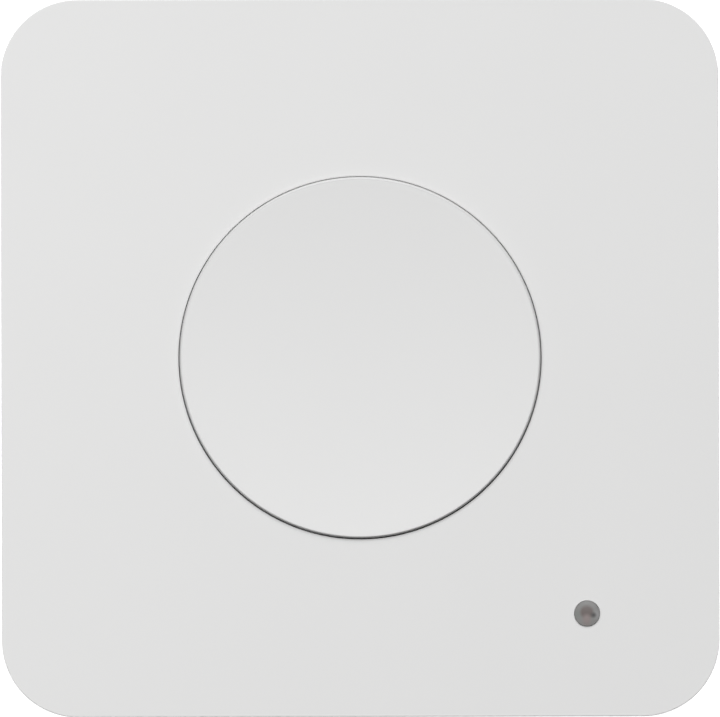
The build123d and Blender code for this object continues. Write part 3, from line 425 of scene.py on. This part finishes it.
def chip_epoxy(name):
    """Filled black epoxy with a fine sandy skin."""
    paint = Paint(name)
    paint.shades(paint.noise(0.12, 4.0, 0.7), grey(0.022), grey(0.048))
    paint.roughness(paint.noise(0.6), 0.5, 0.7)
    paint.bump(paint.noise(0.06, 3.0), 0.004)
    return paint.material


def banded_chips(name, body, period):
    """Ceramic bodies with tinned ends, which show as cloudy patches of solder."""
    paint = Paint(name, roughness=0.4)
    tin = paint.between(paint.noise(period, 2.0, 0.5), 0.0, 1.0, 0.56, 0.6)
    paint.shades(tin, body, grey(0.62))
    paint.set("Metallic", tin)
    paint.bump(paint.noise(0.2, 2.0), 0.01)
    return paint.material


def label_film(name):
    """A blank satin label with a thin printed frame near its edge and fine fibres in it."""
    low, high = node_box("rating_label")
    paint = Paint(name, roughness=0.38)
    middle = (low + high) / 2
    half = (high - low) / 2
    inset, line = 1.6, 0.22
    outside = []
    for axis, centre, reach in (("X", middle.x, half.x), ("Y", middle.y, half.y)):
        away = paint.maths("ABSOLUTE", paint.maths("SUBTRACT", paint.axis(axis), centre * MM))
        outside.append(paint.maths("SUBTRACT", away, (reach - inset) * MM))
    edge = paint.maths("MAXIMUM", *outside)
    frame_line = paint.maths("LESS_THAN", paint.maths("ABSOLUTE", edge), line / 2 * MM)
    film = paint.mix(paint.noise(0.8, 4.0, 0.6, stretch=(4, 1, 1)), grey(0.70), grey(0.75))
    paint.set("Base Color", paint.mix(frame_line, film, grey(0.22)))
    paint.bump(paint.noise(0.25, 2.0), 0.003)
    return paint.material


def smoked_epoxy(name):
    """The lamp's smoky epoxy, with what shows through it: a warm cup, its pale lower part and a dark lead,
    under a painted shade that darkens it towards the rear.
    """
    paint = Paint(name, roughness=0.36)
    x, y, z = *LAMP_AT, LENS_TOP.z
    colour = paint.mix(paint.noise(0.7, 2.0), (0.226, 0.225, 0.220), (0.250, 0.248, 0.244))
    right_side = (1.25, -0.1), (0.2, 0.85), (0.285, 0.285, 0.285)
    left_side = (-1.25, -0.1), (0.1, 0.7), (0.216, 0.230, 0.218)
    cup = (-0.05, 0.2), (0.6, 1.0), (0.164, 0.140, 0.134)
    cup_foot = (-0.1, -1.1), (0.2, 0.75), (0.245, 0.216, 0.211)
    cup_lower_part = (-0.05, -0.6), (0.2, 0.7), (0.268, 0.228, 0.223)
    lead = (0.80, -0.2), (0.12, 0.48), (0.100, 0.098, 0.097)
    for (dx, dy), (full, gone), tint in (right_side, left_side, cup, cup_foot, cup_lower_part, lead):
        colour = paint.mix(paint.near((x + dx, y + dy, z), full, gone), colour, tint)
    # Painted shade: the lens darkens towards the rear and lightens towards the front, in place of the light
    # and shade across it.
    depth = paint.between(paint.axis("Y"), 1.3, 0.76, (y - 1.2) * MM, (y + 1.2) * MM)
    shaded = paint.add("ShaderNodeVectorMath", {0: colour, 1: depth}, operation="MULTIPLY")
    paint.set("Base Color", shaded.outputs["Vector"])
    paint.bump(paint.noise(0.4, 2.0), 0.002)
    paint.set("Specular IOR Level", 0.35)
    return paint.material


def milky(name, colour, transmission=0.35):
    """A milky, half clear moulding."""
    paint = Paint(name, roughness=0.35)
    paint.shades(paint.noise(1.5, 3.0), tinted(colour, 0.9), colour)
    paint.set("Transmission Weight", transmission)
    paint.bump(paint.noise(0.3, 2.0), 0.004)
    return paint.material


# ---------------------------------------------------------------- top cover


def cover_layers(steps=10):
    """Outlines of the cover from its skirt up its leaning side and over the rounded edge."""
    half = BODY / 2
    layers = [(outline(half, half, CORNER_R + DRAFT), SKIRT_LOW)]
    for i in range(steps + 1):
        angle = pi / 2 * i / steps
        inset = DRAFT + EDGE_R * (1 - cos(angle))
        radius = CORNER_R + DRAFT - inset
        layers.append((outline(half - inset, half - inset, radius), FACE_HIGH - EDGE_R + EDGE_R * sin(angle)))
    return layers


def cover_bosses():
    """Every round boss and ring that hangs from the ceiling."""
    bm = bmesh.new()
    top = CEILING + 0.1
    for place in corners(CASE_SCREW_AT, CASE_SCREW_AT):
        rod(bm, CASE_BOSS_R, CASE_BOSS_LOW, top, place)
    for angle in EAR_ANGLES:
        rod(bm, EAR_R, EAR_LOW, top, around(EAR_AT_R, angle))
    rod(bm, COLLAR_R, COLLAR_LOW, top, segments=256)
    rod(bm, LAMP_GUIDE_R, LENS_LOW.z + 0.2, top, LAMP_AT)
    return bm


def cover_ribs():
    bm = bmesh.new()
    for angle in (0, 45, 135, 180, 225, 315):
        reach = INSIDE / 2 + 0.5 if angle % 90 == 0 else CASE_SCREW_AT * 2**0.5
        bar(bm, (COLLAR_R - 0.5, reach), (-RIB_HALF, RIB_HALF), (CEILING - 1.4, CEILING + 0.2), angle)
    return bm


def cover_cuts():
    """The button's opening, the lamp's hole and the pilot holes."""
    bm = bmesh.new()
    rim = arc((OPENING_R + OPENING_RIM_R, FACE_HIGH - OPENING_RIM_R), OPENING_RIM_R, 180, 90, 10)
    foot, over = COLLAR_LOW - 1, FACE_HIGH + 1
    lathe(bm, [(0, foot), (OPENING_R, foot), *rim, (rim[-1][0], over), (0, over)], segments=256)
    bevel = LAMP_HOLE_BEVEL
    lamp = [(0, LENS_LOW.z - 0.45), (LAMP_GUIDE_IN_R, LENS_LOW.z - 0.45), (LAMP_GUIDE_IN_R, CEILING)]
    lamp += [(LAMP_HOLE_R, CEILING), (LAMP_HOLE_R, FACE_HIGH - bevel)]
    lamp += [(LAMP_HOLE_R + 2 * bevel, FACE_HIGH + bevel), (0, FACE_HIGH + bevel)]
    lathe(bm, lamp, LAMP_AT, 96)
    for place in corners(CASE_SCREW_AT, CASE_SCREW_AT):
        rod(bm, CASE_PILOT_R, CASE_BOSS_LOW - 1.1, CASE_BOSS_LOW + 12, place)
    for angle in EAR_ANGLES:
        rod(bm, EAR_PILOT_R, EAR_LOW - 0.3, CEILING - 1.5, around(EAR_AT_R, angle))
    return bm


def rear_gap():
    """The gap in the rear wall, which the socket panel closes."""
    bm = bmesh.new()
    mouth = outline(PANEL_GAP_WIDE / 2, PANEL_GAP_HIGH / 2, PANEL_GAP_R, (0, PANEL_GAP_MIDDLE))
    stack(bm, [(mouth, INSIDE / 2 - 1), (mouth, BODY / 2 + 1)])
    for vert in bm.verts:
        x, z, y = vert.co
        vert.co = (x, y, z)
    return bm


def make_top_cover():
    body = bmesh.new()
    stack(body, cover_layers())
    cover = new_object("top_cover_shell", body)
    cavity = bmesh.new()
    room = outline(INSIDE / 2, INSIDE / 2, CORNER_R - WALL)
    stack(cavity, [(room, SKIRT_LOW - 1), (room, CEILING)])
    steps = [("DIFFERENCE", cavity), ("UNION", cover_bosses()), ("UNION", cover_ribs())]
    steps += [("DIFFERENCE", cover_cuts()), ("DIFFERENCE", rear_gap())]
    combined(cover, steps)
    weighted(cover)
    # Painted shade on the opening's edge, next to the button's gap.
    shaded_r, unshaded_r = OPENING_R + OPENING_RIM_R, OPENING_R + 0.25
    dust_and_shade = (0.84, shaded_r, unshaded_r)
    cover.data.materials.append(white_moulding("shell_plastic", dust_and_shade=dust_and_shade))
    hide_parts("top_cover")
    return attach(cover, "chassis")


# ---------------------------------------------------------------- push button


def button_profile():
    """The button's section, from the middle of its underside round to the middle of its dished face."""
    dish_r = BUTTON_R - BUTTON_RIM_WIDE
    inside = [(0, BUTTON_CEILING), (SKIRT_IN_R, BUTTON_CEILING), (SKIRT_IN_R, FLANGE_LOW)]
    flange = [(FLANGE_R, FLANGE_LOW), (FLANGE_R, FLANGE_HIGH), (BUTTON_R, FLANGE_HIGH)]
    rim_steps, dish_steps = 12, 24
    rim = []
    for i in range(rim_steps + 1):
        turn = pi / 2 * (1 - i / rim_steps)
        rim.append((dish_r + BUTTON_RIM_WIDE * sin(turn), BUTTON_HIGH - BUTTON_RIM_DROP * (1 - cos(turn))))
    bowl_r = (dish_r**2 + DISH_DEPTH**2) / (2 * DISH_DEPTH)
    dish = []
    for i in range(1, dish_steps):
        radius = dish_r * (1 - i / dish_steps)
        dish.append((radius, BUTTON_HIGH - DISH_DEPTH + bowl_r - (bowl_r**2 - radius**2) ** 0.5))
    return inside + flange + rim + dish + [(0, BUTTON_HIGH - DISH_DEPTH)]


def button_fittings():
    """The stem, guide posts, spring seats, ribs and stop tabs under the cap."""
    into = BUTTON_CEILING + 0.2
    stem_low = node_box("press_switch_plunger")[1].z + 0.05
    posts, ribs = bmesh.new(), bmesh.new()
    stem = [(0, stem_low), (STEM_R - 0.4, stem_low), (STEM_R, stem_low + 0.4), (STEM_R, into), (0, into)]
    lathe(posts, stem, segments=64)
    seat = node_box("return_spring_1")[1].z
    post = [(0, POST_LOW), (POST_R - 0.3, POST_LOW), (POST_R, POST_LOW + 0.3), (POST_R, seat)]
    post += [(SPRING_SEAT_R, seat), (SPRING_SEAT_R, into), (0, into)]
    for angle in POST_ANGLES:
        lathe(posts, post, around(POST_AT_R, angle), 64)
        bar(ribs, (1, POST_AT_R), (-RIB_HALF, RIB_HALF), (BUTTON_CEILING - 0.6, into + 0.05), angle)
        bar(ribs, (FLANGE_R - 0.4, FLANGE_R + 1.4), (-2, 2), (FLANGE_LOW, FLANGE_HIGH), angle)
        web = (SKIRT_IN_R - 3, SKIRT_IN_R + 0.4)
        bar(ribs, web, (-RIB_HALF, RIB_HALF), (FLANGE_LOW + 0.6, into), angle + 60)
    return posts, ribs


def make_button():
    body = bmesh.new()
    lathe(body, button_profile(), BUTTON_AT, 256)
    button = new_object("centre_button_cap", body)
    posts, ribs = button_fittings()
    combined(button, [("UNION", posts), ("UNION", ribs)])
    weighted(button)
    # Painted shade on the button's rim, next to the gap round it.
    shaded_r, unshaded_r = BUTTON_R - 0.12, BUTTON_R - 0.37
    dust_and_shade = (0.74, shaded_r, unshaded_r)
    button.data.materials.append(white_moulding("button_plastic", dust_and_shade=dust_and_shade))
    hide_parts("centre_button")
    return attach(button, "button")


# ---------------------------------------------------------------- status lamp


def make_lamp_lens():
    """The lamp's body: a collar, a round barrel and a low dome."""
    low, high = LENS_LOW.z, LENS_TOP.z
    dome_r = (LAMP_R**2 + LAMP_DOME**2) / (2 * LAMP_DOME)
    edge = 90 - degrees(asin(LAMP_R / dome_r))
    round_r, collar = 0.06, 1.0
    inner = LAMP_COLLAR_R - round_r
    profile = [(0, low), (inner, low), (LAMP_COLLAR_R, low + round_r)]
    profile += [(LAMP_COLLAR_R, low + collar - round_r), (inner, low + collar), (LAMP_R, low + collar)]
    profile += arc((0, high - dome_r), dome_r, edge, 89, 20) + [(0, high)]
    bm = bmesh.new()
    lathe(bm, profile, LAMP_AT, 96)
    lens = new_object("status_lamp_dome", bm)
    lens.data.materials.append(smoked_epoxy("lamp_epoxy"))
    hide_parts("status_lamp_lens")
    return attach(lens, "chassis")


# ---------------------------------------------------------------- springs and dome


def make_springs():
    """The three return springs, which shorten as the button goes down."""
    steel = sheet_metal("spring_steel", (0.60, 0.60, 0.61), roughness=(0.2, 0.34))
    wire_r, coil_r, turns = 0.2, 1.9, 5.7
    around_wire, per_turn = 12, 40
    for number, angle in enumerate(POST_ANGLES, 1):
        node = f"return_spring_{number}"
        low, high = node_box(node)
        middle = (low + high) / 2
        rise = high.z - low.z - 2 * wire_r
        bm = bmesh.new()
        rings = []
        for i in range(int(turns * per_turn) + 1):
            share = i / int(turns * per_turn)
            turn = 2 * pi * turns * share
            out = Vector((cos(turn), sin(turn), 0))
            centre = Vector((middle.x, middle.y, low.z + wire_r + rise * share)) + out * coil_r
            loop = []
            for k in range(around_wire):
                side = 2 * pi * k / around_wire
                off = out * wire_r * cos(side) + Vector((0, 0, wire_r * sin(side)))
                loop.append(bm.verts.new(centre + off))
            rings.append(loop)
        for first, second in zip(rings, rings[1:]):
            for k in range(around_wire):
                j = (k + 1) % around_wire
                bm.faces.new((first[k], first[j], second[j], second[k]))
        bm.faces.new(list(reversed(rings[0])))
        bm.faces.new(rings[-1])
        spring = new_object(f"return_coil_{number}", bm, 60)
        spring.data.materials.append(steel)
        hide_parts(node)
        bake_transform(spring)


def make_dome():
    """The rubber dome in the switch, which flattens under the plunger."""
    low, high = (corner.z for corner in node_box("press_switch_dome"))
    bm = bmesh.new()
    outer = [(0, high), (1.2, high), (1.6, high - 0.05), (3.45, low + 0.38)]
    outer += [(3.6, low + 0.3), (3.85, low + 0.3), (3.9, low + 0.25), (3.9, low)]
    inner = [(3.2, low), (1.3, high - 0.35), (0, high - 0.35)]
    lathe(bm, list(reversed(outer + inner)), segments=96)
    dome = new_object("switch_dome", bm)
    dome.data.materials.append(rubber("dome_silicone", (0.42, 0.44, 0.47)))
    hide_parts("press_switch_dome")
    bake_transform(dome)


# ---------------------------------------------------------------- CAD pieces that keep their shape


def finish_cad_pieces():
    """Gives every CAD node that still shows the finish of its material slot."""
    tin, steel = (0.66, 0.66, 0.64), (0.58, 0.58, 0.585)
    gold, copper = (0.83, 0.62, 0.27), (0.72, 0.42, 0.27)
    finishes = {
        "base_plastic": white_moulding("base_plastic", grain=2.5),
        "inner_plastic": plain_moulding("inner_plastic", (0.66, 0.67, 0.68), 0.04),
        "foot_rubber": rubber("foot_rubber", (0.16, 0.165, 0.17)),
        "bumper_silicone": milky("bumper_silicone", (0.60, 0.62, 0.64)),
        "label_film": label_film("label_film"),
        "screw_steel": sheet_metal("screw_steel", steel, grain=(1, 1, 6)),
        "black_moulding": plain_moulding("black_moulding", grey(0.022), 0.35),
        "plunger_plastic": plain_moulding("plunger_plastic", (0.70, 0.70, 0.67), 0.04),
        "plated_steel": sheet_metal("plated_steel", tin),
        "tinned_leads": sheet_metal("tinned_leads", (0.70, 0.70, 0.68), roughness=(0.15, 0.35)),
        "gold_contacts": sheet_metal("gold_contacts", gold, roughness=(0.14, 0.3)),
        "light_pipe": milky("light_pipe", (0.66, 0.72, 0.55)),
        "lamp_source": plain_moulding("lamp_source", (0.62, 0.50, 0.22), 0.15),
        "spacer_nylon": plain_moulding("spacer_nylon", (0.66, 0.65, 0.58), 0.05),
        "board_laminate": circuit_board("board_laminate", (0.010, 0.085, 0.040), (0.022, 0.150, 0.062)),
        "radio_laminate": circuit_board("radio_laminate", (0.008, 0.020, 0.070), (0.016, 0.045, 0.120)),
        "antenna_copper": sheet_metal("antenna_copper", copper),
        "chip_epoxy": chip_epoxy("chip_epoxy"),
        "thermal_rubber": rubber("thermal_rubber", (0.50, 0.30, 0.34)),
        "ferrite": plain_moulding("ferrite", grey(0.055), 0.25, (0.55, 0.75), 0.01),
        "can_aluminium": sheet_metal("can_aluminium", (0.78, 0.78, 0.79), grain=(1, 1, 8)),
        "ceramic_body": banded_chips("ceramic_body", (0.40, 0.26, 0.15), 1.1),
        "resistor_body": banded_chips("resistor_body", grey(0.02), 1.2),
    }
    for entry in frame["record"]["subparts"]:
        node = frame["nodes"][entry["node"]]
        if node.hide_render:
            continue
        node.data.materials.clear()
        node.data.materials.append(finishes[entry["material_slot"]])


# ---------------------------------------------------------------- studio

KEY_POWER = 196
FILL_POWER = 0.6
ROOM_LIGHT = 0.03
FLOOR_GLOW = 0.8
FLOOR_WHITE = 1.0


def make_floor():
    """A wide sheet of pale paper that looks white all over, and sends light back onto the front side."""
    reach, corner_r, thick = 4000, 1500, 2.0
    sheet = outline(reach, reach, corner_r)
    bm = bmesh.new()
    stack(bm, [(sheet, -thick), (sheet, 0.0)])
    floor = new_object("floor", bm)
    paint = Paint("floor_paper", roughness=0.9)
    paint.shades(paint.noise(120.0, 2.0), grey(0.49), grey(0.51))
    paint.set("Specular IOR Level", 0.1)
    paint.set("Emission Color", (1, 1, 1, 1))
    seen = paint.add("ShaderNodeLightPath").outputs["Is Camera Ray"]
    fade = 60 * MM
    glow = paint.between(paint.axis("Y"), FLOOR_GLOW, 0.0, -fade, fade)
    paint.set("Emission Strength", paint.between(seen, glow, FLOOR_WHITE))
    floor.data.materials.append(paint.material)


def area_light(name, tilt, heading, distance, size, power):
    """A square soft light that faces the hub. Tilt is from straight above, heading from +X, in degrees."""
    data = bpy.data.lights.new(name, "AREA")
    data.size = size
    data.energy = power
    lamp = bpy.data.objects.new(name, data)
    bpy.context.scene.collection.objects.link(lamp)
    across = distance * sin(radians(tilt))
    aim = Vector((0, 0, FACE_HIGH * MM))
    place = (across * cos(radians(heading)), across * sin(radians(heading)), distance * cos(radians(tilt)))
    lamp.location = aim + Vector(place)
    lamp.rotation_euler = (aim - lamp.location).to_track_quat("-Z", "Y").to_euler()


def make_studio():
    """One wide soft key light beyond the rear edge, a weak fill at the left, and a dim room."""
    area_light("key", tilt=42, heading=84, distance=3.6, size=3.9, power=KEY_POWER)
    area_light("fill", tilt=55, heading=170, distance=0.5, size=0.3, power=FILL_POWER)
    world = bpy.data.worlds.new("room")
    bpy.context.scene.world = world
    world.use_nodes = True
    tree = world.node_tree
    lighting = tree.nodes["Background"]
    lighting.inputs["Color"].default_value = (1, 1, 1, 1)
    lighting.inputs["Strength"].default_value = ROOM_LIGHT
    seen = tree.nodes.new("ShaderNodeBackground")
    seen.inputs["Color"].default_value = (1, 1, 1, 1)
    seen.inputs["Strength"].default_value = 1.0
    rays = tree.nodes.new("ShaderNodeLightPath")
    mix = tree.nodes.new("ShaderNodeMixShader")
    tree.links.new(rays.outputs["Is Camera Ray"], mix.inputs[0])
    tree.links.new(lighting.outputs[0], mix.inputs[1])
    tree.links.new(seen.outputs[0], mix.inputs[2])
    tree.links.new(mix.outputs[0], tree.nodes["World Output"].inputs["Surface"])
    bpy.context.scene.view_settings.view_transform = "Standard"


def make_camera():
    """A long lens straight above the face, which fills nearly the whole picture."""
    face_share, distance = 0.997, 900.0
    off_x, off_y, roll = -0.004, -0.07, -0.13
    view_width = (BODY - 2 * DRAFT) / face_share
    data = bpy.data.cameras.new("camera")
    data.sensor_width = 36.0
    data.lens = data.sensor_width * distance / view_width
    data.clip_start, data.clip_end = 0.01, 100
    camera = bpy.data.objects.new("camera", data)
    bpy.context.scene.collection.objects.link(camera)
    camera.location = Vector((off_x, off_y, FACE_HIGH + distance)) * MM
    camera.rotation_euler = (0, 0, radians(roll))
    bpy.context.scene.camera = camera


make_camera()
make_studio()
make_floor()
make_top_cover()
make_button()
make_lamp_lens()
make_springs()
make_dome()
finish_cad_pieces()
